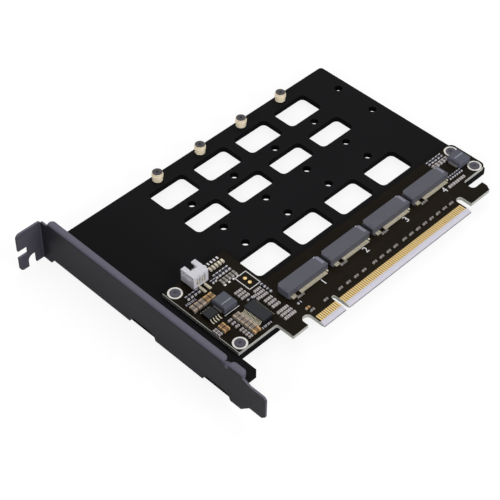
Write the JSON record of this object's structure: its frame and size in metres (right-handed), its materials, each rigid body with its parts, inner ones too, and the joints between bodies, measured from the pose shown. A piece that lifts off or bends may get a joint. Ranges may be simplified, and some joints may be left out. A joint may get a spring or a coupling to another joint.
{
  "type": "nvme adapter card",
  "caption": "Black adapter card with a slot bracket, a card-edge connector, drive sockets with standoffs, a power header and small parts on a stepped board screwed to a carrier plate.",
  "frame": {"origin": "centre of the key notch in the card edge, at the lower edge of the contacts, on the component face of the circuit board", "axes": "+X along the card edge, away from the slot bracket; +Y up the card, away from the card edge; +Z out of the component face"},
  "size_m": [0.1688, 0.12, 0.0209],
  "materials": {
    "painted_metal": "satin black coat",
    "board": "black solder mask",
    "gold": "gold plated",
    "dark_screw": "black zinc",
    "brass": "turned, pale",
    "white_plastic": "moulded",
    "tin": "tin plated",
    "grey_plastic": "pressed ferrite grey",
    "black_plastic": "moulded",
    "socket_plastic": "moulded",
    "ceramic": "fired ceramic"
  },
  "bodies": {
    "root": {"carrier_plate": "painted_metal", "circuit_board": "board", "edge_contacts_front": "gold", "edge_contacts_back": "gold", "slot_bracket": "painted_metal", "bracket_screws": "dark_screw", "board_screws": "dark_screw", "drive_standoffs": "brass", "drive_screws": "dark_screw", "power_header": "white_plastic", "power_header_pins": "tin", "main_inductor": "grey_plastic", "main_inductor_terminals": "tin", "end_inductor": "grey_plastic", "end_inductor_terminals": "tin", "clock_chip": "black_plastic", "clock_leads": "tin", "regulator_chip": "black_plastic", "regulator_leads": "tin", "bulk_capacitors": "ceramic", "filter_capacitors": "ceramic", "filter_resistors": "black_plastic", "slot_capacitors": "ceramic", "coupling_capacitors": "ceramic", "status_leds": "white_plastic", "led_resistors": "black_plastic", "drive_socket_1": "socket_plastic", "socket_contacts_1": "gold", "socket_clips_1": "tin", "drive_socket_2": "socket_plastic", "socket_contacts_2": "gold", "socket_clips_2": "tin", "drive_socket_3": "socket_plastic", "socket_contacts_3": "gold", "socket_clips_3": "tin", "drive_socket_4": "socket_plastic", "socket_contacts_4": "gold", "socket_clips_4": "tin"}
  },
  "joints": []
}
